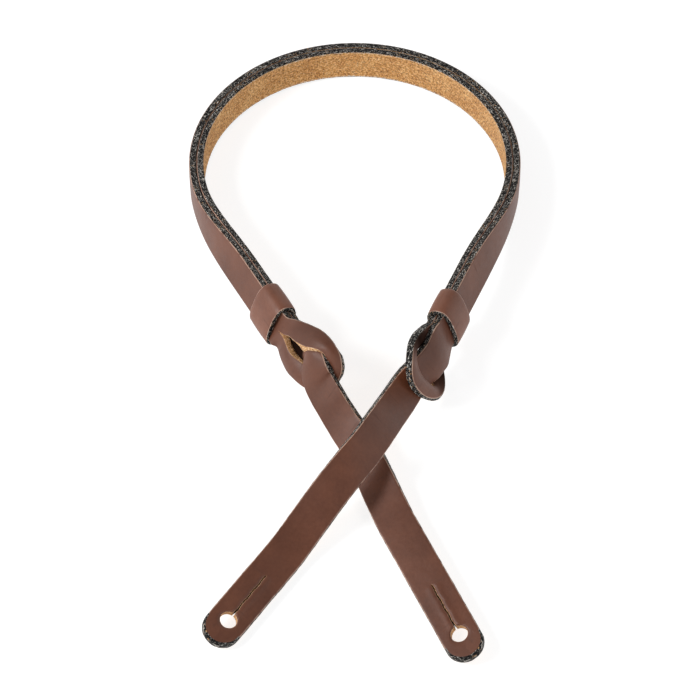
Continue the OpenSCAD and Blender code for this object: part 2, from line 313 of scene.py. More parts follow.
# ------------------------------------------------------------------ knots: corners (along, across, outwards) in mm from the slit's start
knots = {
    # the outer strap's slit end on the left: its legs part round the inner strap, which comes out between them
    # each leg row: inner corner, outer corner, arch, then optionally slant and painted shade for the knot's shadow and
    # the shaded upper leg
    "a_upper": [((4.2, 2.2, 3.5), (4.2, 10.8, 1.0), 0.3, 0.1, 0.05), ((7.6, 4.4, 3.7), (6.6, 12.0, 0.2), 0.5, 0.1, 0.12), ((11.9, 5.9, 4.0), (9.2, 13.3, -0.6), 0.8, 0.3, 0.18),
                ((16.6, 8.2, 4.3), (13.9, 15.6, -1.2), 1.1, 1.5, 0.2), ((20.6, 10.4, 4.3), (18.8, 17.6, -1.9), 1.3, 2.0, 0.18), ((23.9, 12.6, 3.7), (24.0, 18.4, -2.6), 1.4, 1.6, 0.1),
                ((27.0, 14.0, 2.6), (29.4, 17.9, -3.2), 1.3, 0.8), ((29.4, 13.6, 1.2), (33.2, 16.4, -3.7), 1.1, 0.4), ((31.0, 11.6, 0.2), (35.6, 14.2, -4.0), 0.9, 0.2),
                ((32.2, 9.0, -0.6), (37.4, 11.2, -4.2), 0.7), ((32.8, 6.2, -1.0), (38.2, 7.4, -4.0), 0.5), ((32.6, 3.2, -1.2), (37.8, 2.8, -3.4), 0.3)],
    "a_lower": [((4.6, 0.6, 3.4), (2.4, -7.2, 2.9), 0.3, 0.1), ((8.1, -0.7, 3.3), (6.9, -8.6, 3.2), 0.5, 0.1), ((11.6, -1.7, 3.1), (10.9, -9.7, 3.3), 0.8, 0.2),
                ((15.3, -1.4, 2.6), (15.6, -9.9, 3.6), 1.0, 0.3), ((18.4, -0.7, 1.9), (19.4, -9.6, 3.2), 1.1, 0.3), ((21.6, -1.0, 1.0), (23.6, -9.2, 2.4), 1.0, 0.4),
                ((25.2, -1.6, 0.0), (27.2, -8.6, 1.2), 0.7), ((28.8, -1.4, -0.7), (31.2, -7.4, -0.6), 0.4), ((31.2, -0.6, -1.0), (34.6, -5.2, -1.8), 0.3)],
    "a_mid": ((32.2, 1.0, -1.2), (37.2, -1.4, -2.8), 0.2),
    "b_through": [(226.0, (4.0, -7.6, -0.3), (4.0, 8.0, -0.3), 0.2), (231.5, (9.0, -6.6, -0.5), (9.0, 8.0, -0.5), 0.6), (236.0, (13.6, -4.8, -0.7), (13.6, 8.6, -0.9), 1.2),
                  (239.0, (17.0, -2.2, -0.4), (17.4, 10.4, -1.0), 2.0), (241.2, (18.8, 1.6, 1.0), (21.8, 12.2, -0.2), 2.6), (243.4, (20.2, 3.4, 2.5), (26.4, 13.3, 1.1), 2.5),
                  (245.4, (21.3, 1.4, 3.1), (29.4, 12.9, 1.7), 2.0), (247.5, (22.8, -1.2, 3.6), (31.6, 12.2, 1.9), 1.6), (250.5, (25.6, -3.8, 4.1), (34.0, 11.2, 1.9), 1.2),
                  (254.5, (30.4, -5.6, 4.6), (35.8, 9.9, 1.2), 0.8)],
    # the inner strap's slit end on the right: its closed end stands round the outer strap, which dives through it
    # the fifth number is painted shade where the outer strap and the closed end shade the legs
    "b_upper": [((4.0, 2.2, -0.8), (4.8, 10.4, 0.5), 0.2, 0, 0.5), ((8.6, 4.4, -1.4), (10.4, 13.1, 1.6), 0.4, 0, 0.9), ((13.4, 6.0, -1.6), (17.4, 16.5, 3.1), 0.6, 0, 1.0),
                ((17.4, 7.8, -0.8), (23.2, 17.3, 4.1), 0.7, 0, 0.8), ((20.6, 9.0, 0.8), (26.8, 16.0, 4.6), 0.8, 0, 0.35), ((23.4, 8.6, 2.2), (29.9, 13.5, 4.7), 0.9),
                ((25.2, 5.9, 3.1), (32.4, 10.4, 4.6), 0.9), ((25.7, 3.2, 3.6), (33.7, 6.5, 4.5), 0.9)],
    "b_lower": [((3.6, -2.0, -0.9), (3.6, -9.0, 0.2), 0.2, 0, 0.6), ((7.4, -4.4, -1.7), (8.2, -11.4, 1.9), 0.4, 0, 0.9), ((11.2, -6.6, -1.8), (12.8, -13.0, 4.0), 0.6, 0, 0.9),
                ((14.6, -8.4, -0.9), (17.3, -13.6, 5.6), 0.7, 0, 0.7), ((17.6, -9.6, 0.9), (21.2, -13.4, 6.2), 0.8, 0, 0.4), ((20.2, -9.6, 2.9), (25.0, -12.0, 6.0), 0.9),
                ((22.2, -7.8, 4.1), (28.4, -9.0, 5.4), 0.9), ((24.3, -3.6, 4.3), (31.9, -3.4, 4.8), 0.9)],
    "b_mid": ((25.5, 0.3, 4.0), (33.6, 1.8, 4.6), 0.9),
    "a_through": [(226.5, (4.0, -9.0, 4.0), (4.0, 9.2, 3.2), 0.9), (231.0, (8.3, -9.4, 4.8), (8.3, 8.7, 2.9), 1.3), (236.0, (12.6, -8.8, 4.8), (12.5, 7.6, 2.3), 1.6),
                  (240.5, (16.3, -9.2, 3.8), (16.9, 7.0, 1.0), 1.7), (245.0, (20.4, -9.2, 1.6), (21.2, 6.8, -0.6), 1.4),
                  (249.5, (25.5, -8.4, 1.2), (26.3, 7.4, -2.4), 0.9), (254.5, (31.2, -7.5, 1.6), (31.2, 7.7, -3.6), 0.5)],
}
TAIL_H = 0.22


def strap_a_rows():
    rows = slit_end_rows(L, 1, knots["a_upper"], knots["a_lower"], knots["a_mid"])[::-1]
    ss = np.concatenate([np.arange(221.6, 0.1, -1.1)])
    rows += band_rows(L, ss, lambda s: MID_N, 0.1)
    rows += band_rows(R, np.arange(0.0, 216.6, 1.1), lambda s: MID_N, 0.1)
    rows += through_rows(R, -1, knots["a_through"], TAIL_H)
    rows += band_rows(R, np.arange(279.0, FLAT - 0.5, 1.0), lambda s: tail_n(s, -1), TAIL_H)
    return rows + tip_rows(R, TAIL_H)


def strap_b_rows():
    rows = slit_end_rows(R, -1, knots["b_upper"], knots["b_lower"], knots["b_mid"])[::-1]
    rows += band_rows(R, np.arange(221.6, 0.1, -1.1), lambda s: -MID_N, 0.1)
    rows += band_rows(L, np.arange(0.0, 216.6, 1.1), lambda s: -MID_N, 0.1)
    rows += through_rows(L, 1, knots["b_through"], TAIL_H)
    rows += band_rows(L, np.arange(279.0, FLAT - 0.5, 1.0), lambda s: tail_n(s, 1), TAIL_H)
    return rows + tip_rows(L, TAIL_H)


GRAIN_F = (0.04, 0.10, 0.18, 0.30, 0.45, 0.62, 0.79, 0.92)
GRAIN, EDGE, FLESH, CUT = 0, 1, 2, 3
RO, RB = 0.6, 0.25
SEG_MAT = [CUT] * 5 + [GRAIN] + [GRAIN] * 9 + [GRAIN] * 3 + [EDGE] * 7 + [FLESH] * 9


def unit(v):
    return v / np.maximum(np.linalg.norm(v, axis=-1, keepdims=True), 1e-12)


def build_strap(name, rows, seed, mats):
    m = len(rows)
    start = int(np.argmin([abs(r.up[1][1] - (cad_hi.y / MM)) for r in rows]))     # the back of the loop
    rng = np.random.RandomState(seed)
    rough = rng.uniform(-1, 1, (m, 2, 8))
    rough = 0.6 * rough + 0.25 * np.roll(rough, 1, 0) + 0.15 * np.roll(rough, 2, 0)
    wave = np.cumsum(rng.uniform(-1, 1, (m, 2)), 0)
    wave = wave - np.array([np.convolve(wave[:, j], np.ones(41) / 41, mode="same") for j in (0, 1)]).T
    wave = np.clip(wave * 0.03, -0.09, 0.09)
    co, at_, dark, faces, fm = [], [], [], [], []
    base = {}
    for h, j in ((0, 1), (1, -1)):
        gi = np.array([(r.up if j == 1 else r.lo)[0] for r in rows])
        go = np.array([(r.up if j == 1 else r.lo)[1] for r in rows])
        mid = (gi + go) / 2
        tan = np.zeros_like(mid)
        seg = unit(np.diff(mid, axis=0))
        tan[1:-1] = seg[1:] + seg[:-1]
        tan[0], tan[-1] = seg[0], seg[-1]
        centre = np.array([(r.up[1] + r.lo[1]) / 2 for r in rows])
        for i, r in enumerate(rows):
            if r.whole:
                a = i - 1 if i and rows[i - 1].whole else i
                b = i + 1 if i + 1 < m and rows[i + 1].whole else i
                tan[i] = centre[b] - centre[a]
        for e, i2 in ((0, 1), (m - 1, m - 2)):           # the middle of a closed end is shared by both legs
            if rows[e].last:
                other = ((rows[i2].lo[0] + rows[i2].lo[1]) / 2) if j == 1 else ((rows[i2].up[0] + rows[i2].up[1]) / 2)
                d = (mid[i2] - other)
                tan[e] = d if e == 0 else -d
                if e == 0:
                    tan[e] = (mid[i2] - other)
        tan = unit(tan)
        across = unit(go - gi)
        nn = unit(np.cross(tan, across))
        ref = np.array([0, 1.0, 0])
        order = list(range(start, m)) + list(range(start - 1, -1, -1))
        prev = {start: ref}
        for i in order:
            near = ref if i == start else nn[i - 1 if i > start else i + 1]
            if nn[i] @ near < 0:
                nn[i] = -nn[i]
        # both halves of a whole row share one normal and one line across
        for i, r in enumerate(rows):
            if r.whole:
                d = unit(r.up[1] - r.lo[1])
                v = np.cross(tan[i], d)
                v = v / np.linalg.norm(v)
                nn[i] = v if v @ nn[i] > 0 else -v
        wid = np.linalg.norm(go - gi, axis=1)
        for i, r in enumerate(rows):
            W, ri, t = wid[i], r.ri, STRAP_T
            rbi = min(0.12, ri)
            hA = r.hA if r.whole or not hasattr(r, "fadeA") else r.fadeA
            hB = r.hB if not hasattr(r, "hB_up") else (r.hB_up if j == 1 else r.hB_lo)
            RO_ = r.ro
            hgt = t - RO_ - RB
            leg = 0 if j == 1 else 1
            pts = [(rbi, -t), (0, -t + rbi), (0, -0.66 * t), (0, -0.33 * t), (0, -max(ri, 0)), (0.3 * ri, -0.3 * ri), (ri, 0)]
            pts += [(ri + (W - ri - RO_) * f, 0) for f in GRAIN_F]
            pts += [(W - RO_, 0), (W - 0.62 * RO_, -0.08 * RO_), (W - 0.29 * RO_, -0.29 * RO_), (W - 0.08 * RO_, -0.62 * RO_), (W, -RO_),
                    (W, -RO_ - 0.25 * hgt), (W, -RO_ - 0.5 * hgt), (W, -RO_ - 0.75 * hgt), (W, -t + RB), (W - 0.3 * RB, -t + 0.3 * RB), (W - RB, -t)]
            pts += [(rbi + (W - rbi - RB) * f, -t) for f in GRAIN_F[::-1]]
            amp = 0.0 if r.last else 1.0
            base[(h, i)] = len(co)
            for q, (x, e) in enumerate(pts):
                f = min(1.0, x / W)
                arch = hA * (1 - f * f) + hB * 4 * f * (1 - f)
                arch -= r.dish * math.exp(-(x / 0.8) ** 2) * (1.0 + e / t)
                arch += r.lip[leg] * math.exp(-((x - 1.1) / 1.3) ** 2) * (1.0 + e / t)
                xx = x - r.slant[leg] * (-e / t) * (1 - f) ** 2
                if 18 <= q <= 24:
                    xx = x + amp * ((0.05 if q in (18, 24) else 0.10) * rough[i, h, q - 18] + wave[i, h] + (0.06 if 20 <= q <= 22 else 0))
                if 1 <= q <= 4 and not r.whole and not r.last:
                    xx = xx - 0.12 * abs(rough[i, h, q - 1])
                co.append(gi[i] + across[i] * xx + nn[i] * (e + arch))
                at_.append((r.s * (1 if i >= start else -1), j * x * (HW / W if W > 0 else 1), e))
                dark.append(r.dark[leg])
    n = len(SEG_MAT)
    for h in (0, 1):
        for i in range(m - 1):
            a, b = base[(h, i)], base[(h, i + 1)]
            both = rows[i].whole and rows[i + 1].whole
            for q in range(n):
                if both and q < 6:
                    continue
                q2 = (q + 1) % n
                faces.append((a + q, a + q2, b + q2, b + q))
                rim = rows[i].ro > RO + 0.3 and 15 <= q < 18
                fm.append(EDGE if rim else SEG_MAT[q])
    mesh = bpy.data.meshes.new(name)
    mesh.from_pydata((np.array(co) * MM).tolist(), [], faces)
    mesh.polygons.foreach_set("material_index", np.array(fm, np.int32))
    att = mesh.attributes.new("strap_pos", "FLOAT_VECTOR", "POINT")
    att.data.foreach_set("vector", np.array(at_, np.float32).ravel())
    # per-corner painted shade: darkening for the shadows inside the knots
    mesh.attributes.new("strap_painted_shade", "FLOAT", "POINT").data.foreach_set("value", np.array(dark, np.float32))
    return finish_mesh(name, mesh, mats)


def finish_mesh(name, mesh, mats, merge=1.5e-6):
    bm = bmesh.new()
    bm.from_mesh(mesh)
    bmesh.ops.delete(bm, geom=[v for v in bm.verts if not v.link_faces], context="VERTS")
    bmesh.ops.remove_doubles(bm, verts=bm.verts, dist=merge)
    bmesh.ops.dissolve_degenerate(bm, edges=bm.edges, dist=1e-8)
    bmesh.ops.recalc_face_normals(bm, faces=bm.faces)
    bad = sum(1 for e in bm.edges if len(e.link_faces) != 2)
    print(f"{name}: {len(bm.verts)} vertices, {len(bm.faces)} faces, {bad} edges not shared by two faces, volume {bm.calc_volume() * 1e9:.0f} mm3")
    bm.to_mesh(mesh)
    bm.free()
    for mat in mats:
        mesh.materials.append(mat)
    mesh.polygons.foreach_set("use_smooth", np.ones(len(mesh.polygons), bool))
    mesh.update()
    o = bpy.data.objects.new(name, mesh)
    bpy.context.scene.collection.objects.link(o)
    return o


# ------------------------------------------------------------------ keepers and staples
def ring_path(a, b, power, num):
    """A rounded, slightly bulging ring in the (n, w) plane, from the lap on the inner side round and back."""
    th = np.radians(np.linspace(0, 360, 2881))
    c, v = np.cos(th), np.sin(th)
    x, y = -a * np.sign(c) * np.abs(c) ** (2 / power), b * np.sign(v) * np.abs(v) ** (2 / power)
    d = np.concatenate([[0], np.cumsum(np.hypot(np.diff(x), np.diff(y)))])
    d0 = np.interp(np.radians(34), th, d)
    q = (d0 + np.linspace(0, d[-1], num)) % d[-1]
    return np.stack([np.interp(q, d, x), np.interp(q, d, y)], -1)


def build_keeper(name, side, mats, seed):
    T, half = 2.1, (8.0 if side == L else 7.1)
    p, t, n, w = at(side, KEEPER + 0.6)
    p, t, n, w = p[0], t[0], n[0], w[0]
    num = 190
    io = ring_path(PAIR / 2 + 0.65 + T, HW + 0.75 + T, 2.75, num)
    tg = unit(np.roll(io[:-1], -1, 0) - np.roll(io[:-1], 1, 0))
    tg = np.vstack([tg, tg[:1]])
    no = np.stack([-tg[:, 1], tg[:, 0]], -1)
    if np.mean(np.sum(no * io, 1)) < 0:
        no = -no
    ii = io - no * T
    f = np.linspace(0, 1, num)
    do = np.concatenate([[0], np.cumsum(np.linalg.norm(np.diff(io, axis=0), axis=1))])
    rng = np.random.RandomState(seed)
    co, at_, faces, fm = [], [], [], []
    sect = [(-half + 0.15, 0), (-half, 0.08), (-half, 0.36), (-half, 0.72), (-half + 0.14, 0.93), (-half + 0.5, 1.0), (-0.7 * half, 1.0), (-0.46 * half, 1.0), (-0.18 * half, 1.0), (0.09 * half, 1.0),
            (0.34 * half, 1.0), (0.62 * half, 1.0), (half - 0.5, 1.0), (half - 0.14, 0.93), (half, 0.72), (half, 0.36), (half, 0.08), (half - 0.15, 0), (3.4, 0), (0.2, 0), (-3.2, 0)]
    smat = [EDGE, EDGE, EDGE, EDGE, GRAIN] + [GRAIN] * 7 + [GRAIN, EDGE, EDGE, EDGE, EDGE] + [FLESH] * 4
    ns = len(sect)
    for k in range(num):
        a, b = ii[k], io[k]
        # the outer end is pared thin and lies over the inner one: a step of half a millimetre at the lap
        dist = do[k]
        step = 0.55 * math.exp(-dist / 2.6)
        wob = rng.uniform(-1, 1, ns) * 0.07
        for q, (sg, e) in enumerate(sect):
            thick = np.linalg.norm(b - a) - step
            pos = a + (b - a) / np.linalg.norm(b - a) * thick * e
            crown = 0.22 * (1 - (sg / half) ** 2) if e == 1.0 else 0.0
            pos = pos + no[k] * crown
            sgj = sg + (wob[q] if smat[q - 1] == EDGE and 0.05 < e < 0.8 else 0)
            co.append(p + t * sgj + n * pos[0] + w * pos[1])
            at_.append((500 + dist, sg, (e - 1) * T))
    for k in range(num - 1):
        for q in range(ns):
            q2 = (q + 1) % ns
            faces.append((k * ns + q, k * ns + q2, (k + 1) * ns + q2, (k + 1) * ns + q)); fm.append(smat[q])
    last = (num - 1) * ns
    for q in range(ns):                                   # the step of the lap
        q2 = (q + 1) % ns
        faces.append((last + q, last + q2, q2, q)); fm.append(EDGE)
    mesh = bpy.data.meshes.new(name)
    mesh.from_pydata((np.array(co) * MM).tolist(), [], faces)
    mesh.polygons.foreach_set("material_index", np.array(fm, np.int32))
    att = mesh.attributes.new("strap_pos", "FLOAT_VECTOR", "POINT")
    att.data.foreach_set("vector", np.array(at_, np.float32).ravel())
    return finish_mesh(name, mesh, mats)


def build_staple(name, side, mat):
    p, t, n, w = at(side, KEEPER)
    p, t, n, w = p[0], t[0], n[0], w[0]
    out, inn, half, r = -(PAIR / 2 + 0.3 + 2.2 + 0.62), -(PAIR / 2 + 0.3) - 0.3, 3.05, 0.75
    path = [(inn, half), (out + r, half)]
    path += [(out + r - r * math.sin(a), half - r + r * math.cos(a)) for a in np.radians([15, 30, 45, 60, 75, 90])]
    k = 7
    path += [(out, (half - r) * (1 - 2 * i / k)) for i in range(1, k)]
    path += [(x, -y) for x, y in reversed(path[:8])]
    path = np.array(path)
    tg = unit(np.gradient(path, axis=0))
    co, faces, at_ = [], [], []
    sides = 16
    for i, (x, y) in enumerate(path):
        nrm = np.array([-tg[i, 1], tg[i, 0]])
        end = i in (0, len(path) - 1)
        for j in range(sides):
            a = 2 * math.pi * j / sides
            rr = 0.45 * (0.55 if end else 1.0)
            c, s_ = math.cos(a) * rr, math.sin(a) * rr
            v = (x + nrm[0] * c, y + nrm[1] * c)
            co.append(p + n * v[0] + w * v[1] + t * s_)
            at_.append((i * 1.0, a, 0))
    for i in range(len(path) - 1):
        for j in range(sides):
            j2 = (j + 1) % sides
            faces.append((i * sides + j, i * sides + j2, (i + 1) * sides + j2, (i + 1) * sides + j))
    faces.append(tuple(range(sides)))
    faces.append(tuple((len(path) - 1) * sides + j for j in reversed(range(sides))))
    mesh = bpy.data.meshes.new(name)
    mesh.from_pydata((np.array(co) * MM).tolist(), [], faces)
    return finish_mesh(name, mesh, [mat])


# ------------------------------------------------------------------ materials
def lin(r, g, b):
    f = lambda c: (c / 255 / 12.92) if c / 255 <= 0.04045 else ((c / 255 + 0.055) / 1.055) ** 2.4
    return (f(r), f(g), f(b), 1.0)


class Nodes:
    def __init__(self, name):
        self.mat = bpy.data.materials.new(name)
        self.mat.use_nodes = True
        self.t = self.mat.node_tree
        self.t.nodes.clear()
        self.out = self.t.nodes.new("ShaderNodeOutputMaterial")
        self.bsdf = self.t.nodes.new("ShaderNodeBsdfPrincipled")
        self.link(self.bsdf.outputs[0], self.out.inputs[0])
        a = self.t.nodes.new("ShaderNodeAttribute")
        a.attribute_name = "strap_pos"
        self.pos = a.outputs["Vector"]

    def link(self, a, b):
        self.t.links.new(a, b)

    def put(self, socket, v):
        if isinstance(v, bpy.types.NodeSocket):
            self.link(v, socket)
        else:
            socket.default_value = v

    def scaled(self, sx, sy, sz, src=None):
        m = self.t.nodes.new("ShaderNodeMapping")
        m.inputs["Scale"].default_value = (sx, sy, sz)
        self.link(src or self.pos, m.inputs["Vector"])
        return m.outputs[0]

    def noise(self, scale, detail=3.0, rough=0.5, vec=None, distortion=0.0):
        m = self.t.nodes.new("ShaderNodeTexNoise")
        m.inputs["Scale"].default_value = scale
        m.inputs["Detail"].default_value = detail
        m.inputs["Roughness"].default_value = rough
        m.inputs["Distortion"].default_value = distortion
        self.link(vec or self.pos, m.inputs["Vector"])
        return m.outputs["Fac"]

    def voronoi(self, scale, vec=None, feature="F1", out="Distance"):
        m = self.t.nodes.new("ShaderNodeTexVoronoi")
        m.feature = feature
        m.inputs["Scale"].default_value = scale
        self.link(vec or self.pos, m.inputs["Vector"])
        return m.outputs[out]

    def ramp(self, fac, stops):
        m = self.t.nodes.new("ShaderNodeValToRGB")
        e = m.color_ramp.elements
        while len(e) < len(stops):
            e.new(0.5)
        for i, (pos, col) in enumerate(stops):
            e[i].position = pos
            e[i].color = col if isinstance(col, tuple) else (col, col, col, 1)
        self.link(fac, m.inputs[0])
        return m.outputs[0]

    def step(self, v, a, b):
        m = self.t.nodes.new("ShaderNodeMapRange")
        m.interpolation_type = "SMOOTHSTEP"
        self.put(m.inputs["Value"], v)
        m.inputs["From Min"].default_value = a
        m.inputs["From Max"].default_value = b
        return m.outputs[0]

    def math(self, op, a, b=0.0, c=None):
        m = self.t.nodes.new("ShaderNodeMath")
        m.operation = op
        self.put(m.inputs[0], a)
        self.put(m.inputs[1], b)
        if c is not None:
            self.put(m.inputs[2], c)
        return m.outputs[0]

    def mix(self, fac, a, b, kind="MIX"):
        m = self.t.nodes.new("ShaderNodeMix")
        m.data_type = "RGBA"
        m.blend_type = kind
        self.put(m.inputs[0], fac)
        self.put(m.inputs[6], a)
        self.put(m.inputs[7], b)
        return m.outputs[2]

    def xyz(self):
        m = self.t.nodes.new("ShaderNodeSeparateXYZ")
        self.link(self.pos, m.inputs[0])
        return m.outputs[0], m.outputs[1], m.outputs[2]

    def bump(self, height, strength, distance, normal=None):
        m = self.t.nodes.new("ShaderNodeBump")
        m.inputs["Strength"].default_value = strength
        m.inputs["Distance"].default_value = distance
        self.link(height, m.inputs["Height"])
        if normal is not None:
            self.link(normal, m.inputs["Normal"])
        return m.outputs[0]


def grain_material(name, dark, light, rim_wear_and_highlight):
    k = Nodes(name)
    s, x, e = k.xyz()
    large = k.noise(0.045, 3.0, 0.55)
    fine = k.noise(0.7, 5.0, 0.6)
    base = k.ramp(k.math("ADD", k.math("MULTIPLY", large, 0.7), k.math("MULTIPLY", fine, 0.3)), [(0.34, dark), (0.66, light)])
    # faint darker creases across the strap, a few pale scuffs and dust specks, open pores
    crease = k.step(k.noise(1.0, 3.0, 0.6, k.scaled(0.5, 0.06, 0.3)), 0.60, 0.72)
    base = k.mix(k.math("MULTIPLY", crease, 0.25), base, lin(62, 36, 27))
    speck_d = k.voronoi(0.16)
    speck = k.math("MULTIPLY", k.math("SUBTRACT", 1.0, k.step(speck_d, 0.020, 0.036)), k.step(k.noise(0.09, 1.0), 0.48, 0.56))
    base = k.mix(k.math("MULTIPLY", speck, 0.7), base, lin(178, 142, 122))
    pore = k.math("MULTIPLY", k.math("SUBTRACT", 1.0, k.step(k.voronoi(0.33), 0.03, 0.07)), k.step(k.noise(0.11, 1.0, 0.5, k.scaled(1.0, 1.3, 1.0)), 0.5, 0.6))
    base = k.mix(k.math("MULTIPLY", pore, 0.5), base, lin(40, 24, 19))
    # pale line where the grain rolls over the edge, partly rubbed wear and partly a painted highlight on the rounded
    # corner, then the dark bleed of the edge dye
    roll = k.math("MULTIPLY", k.step(e, -0.02, -0.12), k.math("SUBTRACT", 1.0, k.step(e, -0.27, -0.38)))
    worn_and_highlight = k.math("MULTIPLY", roll, k.step(k.noise(0.30, 4.0, 0.6), 0.30, 0.56))
    base = k.mix(k.math("MULTIPLY", worn_and_highlight, rim_wear_and_highlight), base, lin(204, 170, 150))
    base = k.mix(k.math("MULTIPLY", k.step(e, -0.30, -0.42), 0.95), base, lin(30, 24, 22))
    # darkening painted where the leather lies in a knot's shadow or on a shaded leg: painted shade, with less shine
    # there
    da = k.t.nodes.new("ShaderNodeAttribute")
    da.attribute_name = "strap_painted_shade"
    painted_shade = da.outputs["Fac"]
    base = k.mix(k.math("MULTIPLY", painted_shade, 0.93), base, lin(14, 10, 9))
    k.link(base, k.bsdf.inputs["Base Color"])
    rough = k.math("ADD", 0.38, k.math("MULTIPLY", k.noise(0.35, 4.0, 0.65), 0.18))
    k.link(k.math("ADD", k.math("ADD", rough, k.math("MULTIPLY", crease, 0.08)), k.math("MULTIPLY", painted_shade, 0.4)), k.bsdf.inputs["Roughness"])
    k.link(k.math("SUBTRACT", 0.36, k.math("MULTIPLY", painted_shade, 0.36)), k.bsdf.inputs["Specular IOR Level"])
    cells = k.voronoi(1.9, feature="DISTANCE_TO_EDGE")
    pebble = k.math("MULTIPLY", k.step(cells, 0.0, 0.18), 0.5)
    h = k.math("ADD", pebble, k.math("MULTIPLY", k.noise(2.6, 4.0, 0.6), 0.5))
    b1 = k.bump(h, 0.16, 0.00012)
    b2 = k.bump(k.noise(0.10, 3.0, 0.5), 0.22, 0.0012, b1)
    b3 = k.bump(k.math("SUBTRACT", 0.0, crease), 0.15, 0.00015, b2)
    k.link(b3, k.bsdf.inputs["Normal"])
    return k.mat


def edge_material(name):
    k = Nodes(name)
    fibre = k.noise(1.0, 5.0, 0.75, k.scaled(0.9, 1.8, 2.6), 0.6)
    fuzz = k.noise(2.3, 5.0, 0.8)
    both = k.math("ADD", k.math("MULTIPLY", fibre, 0.5), k.math("MULTIPLY", fuzz, 0.5))
    base = k.ramp(both, [(0.42, lin(5, 4, 4)), (0.505, lin(12, 10, 10)), (0.54, lin(66, 62, 59)), (0.572, lin(242, 236, 226))])
    tan = k.math("MULTIPLY", k.math("SUBTRACT", 1.0, k.step(k.voronoi(0.95), 0.12, 0.26)), k.step(k.noise(0.16, 2.0), 0.50, 0.56))
    base = k.mix(k.math("MULTIPLY", tan, 0.85), base, lin(206, 160, 112))
    k.link(base, k.bsdf.inputs["Base Color"])
    k.link(k.math("ADD", 0.45, k.math("MULTIPLY", fuzz, 0.4)), k.bsdf.inputs["Roughness"])
    k.bsdf.inputs["Specular IOR Level"].default_value = 0.16
    b1 = k.bump(both, 1.0, 0.0009)
    k.link(b1, k.bsdf.inputs["Normal"])
    return k.mat


def flesh_material(name):
    k = Nodes(name)
    large = k.noise(0.10, 2.0, 0.5)
    nap = k.noise(1.05, 4.0, 0.85)
    tuft = k.noise(1.9, 4.0, 0.85)
    mixv = k.math("ADD", k.math("ADD", k.math("MULTIPLY", large, 0.08), k.math("MULTIPLY", nap, 0.52)), k.math("MULTIPLY", tuft, 0.40))
    base = k.ramp(mixv, [(0.41, lin(132, 80, 34)), (0.47, lin(188, 130, 67)), (0.52, lin(214, 160, 94)), (0.58, lin(244, 208, 152))])
    pit = k.math("MULTIPLY", k.step(k.noise(0.95, 3.0, 0.8), 0.545, 0.59), 0.78)
    base = k.mix(pit, base, lin(84, 46, 18))
    x = k.xyz()[1]
    rim = k.step(k.math("ADD", k.math("ABSOLUTE", x), k.math("MULTIPLY", k.noise(1.4, 4.0, 0.8), 1.3)), 8.15, 8.5)
    base = k.mix(k.math("MULTIPLY", rim, 0.9), base, lin(26, 22, 20))
    fluff = k.math("MULTIPLY", k.step(k.noise(1.5, 3.0, 0.8), 0.53, 0.57), k.math("SUBTRACT", k.step(k.math("ABSOLUTE", x), 6.9, 7.3), k.step(k.math("ABSOLUTE", x), 7.9, 8.1)))
    base = k.mix(k.math("MULTIPLY", fluff, 0.85), base, lin(246, 238, 222))
    k.link(base, k.bsdf.inputs["Base Color"])
    k.bsdf.inputs["Roughness"].default_value = 0.95
    k.bsdf.inputs["Specular IOR Level"].default_value = 0.12
    k.bsdf.inputs["Sheen Weight"].default_value = 0.15
    k.bsdf.inputs["Sheen Roughness"].default_value = 0.5
    b1 = k.bump(mixv, 1.0, 0.0011)
    k.link(b1, k.bsdf.inputs["Normal"])
    return k.mat


def cut_material(name):
    k = Nodes(name)
    fibre = k.noise(1.0, 6.0, 0.75, k.scaled(1.1, 1.6, 2.2), 0.3)
    base = k.ramp(fibre, [(0.38, lin(112, 66, 34)), (0.46, lin(190, 138, 90)), (0.54, lin(226, 182, 134)), (0.64, lin(248, 224, 190))])
    # down inside the narrow slit by a button hole the cut is darkened towards the bottom: painted shade of the narrow
    # slit
    s, x, e = k.xyz()
    slit_painted_shade = k.math("MULTIPLY", k.step(s, 356.0, 358.0), k.math("SUBTRACT", 1.0, k.step(s, HOLE_AT - 4.6, HOLE_AT - 3.4)))
    slit_painted_shade = k.math("MULTIPLY", slit_painted_shade, k.step(k.math("ADD", e, k.math("MULTIPLY", k.noise(1.2, 3.0, 0.7), 0.5)), 0.1, -0.12))
    base = k.mix(k.math("MULTIPLY", slit_painted_shade, 0.95), base, lin(22, 13, 9))
    k.link(base, k.bsdf.inputs["Base Color"])
    k.bsdf.inputs["Roughness"].default_value = 0.85
    k.bsdf.inputs["Specular IOR Level"].default_value = 0.2
    b1 = k.bump(fibre, 1.0, 0.0009)
    k.link(b1, k.bsdf.inputs["Normal"])
    return k.mat


def steel_material(name):
    k = Nodes(name)
    tc = k.t.nodes.new("ShaderNodeTexCoord")
    n1 = k.noise(900.0, 4.0, 0.6, tc.outputs["Object"])
    base = k.ramp(n1, [(0.3, lin(150, 150, 152)), (0.7, lin(205, 205, 208))])
    k.link(base, k.bsdf.inputs["Base Color"])
    k.bsdf.inputs["Metallic"].default_value = 1.0
    k.link(k.math("ADD", 0.2, k.math("MULTIPLY", n1, 0.25)), k.bsdf.inputs["Roughness"])
    k.link(k.bump(k.noise(3000.0, 3.0, 0.6, tc.outputs["Object"]), 0.2, 0.00005), k.bsdf.inputs["Normal"])
    return k.mat


grain = grain_material("brown_grain", lin(84, 49, 35), lin(106, 64, 46), 0.65)
keeper_grain = grain_material("keeper_grain", lin(98, 60, 45), lin(122, 78, 60), 0.9)
edge = edge_material("black_edge")
flesh = flesh_material("tan_flesh")
cut = cut_material("raw_cut")
steel = steel_material("staple_wire")

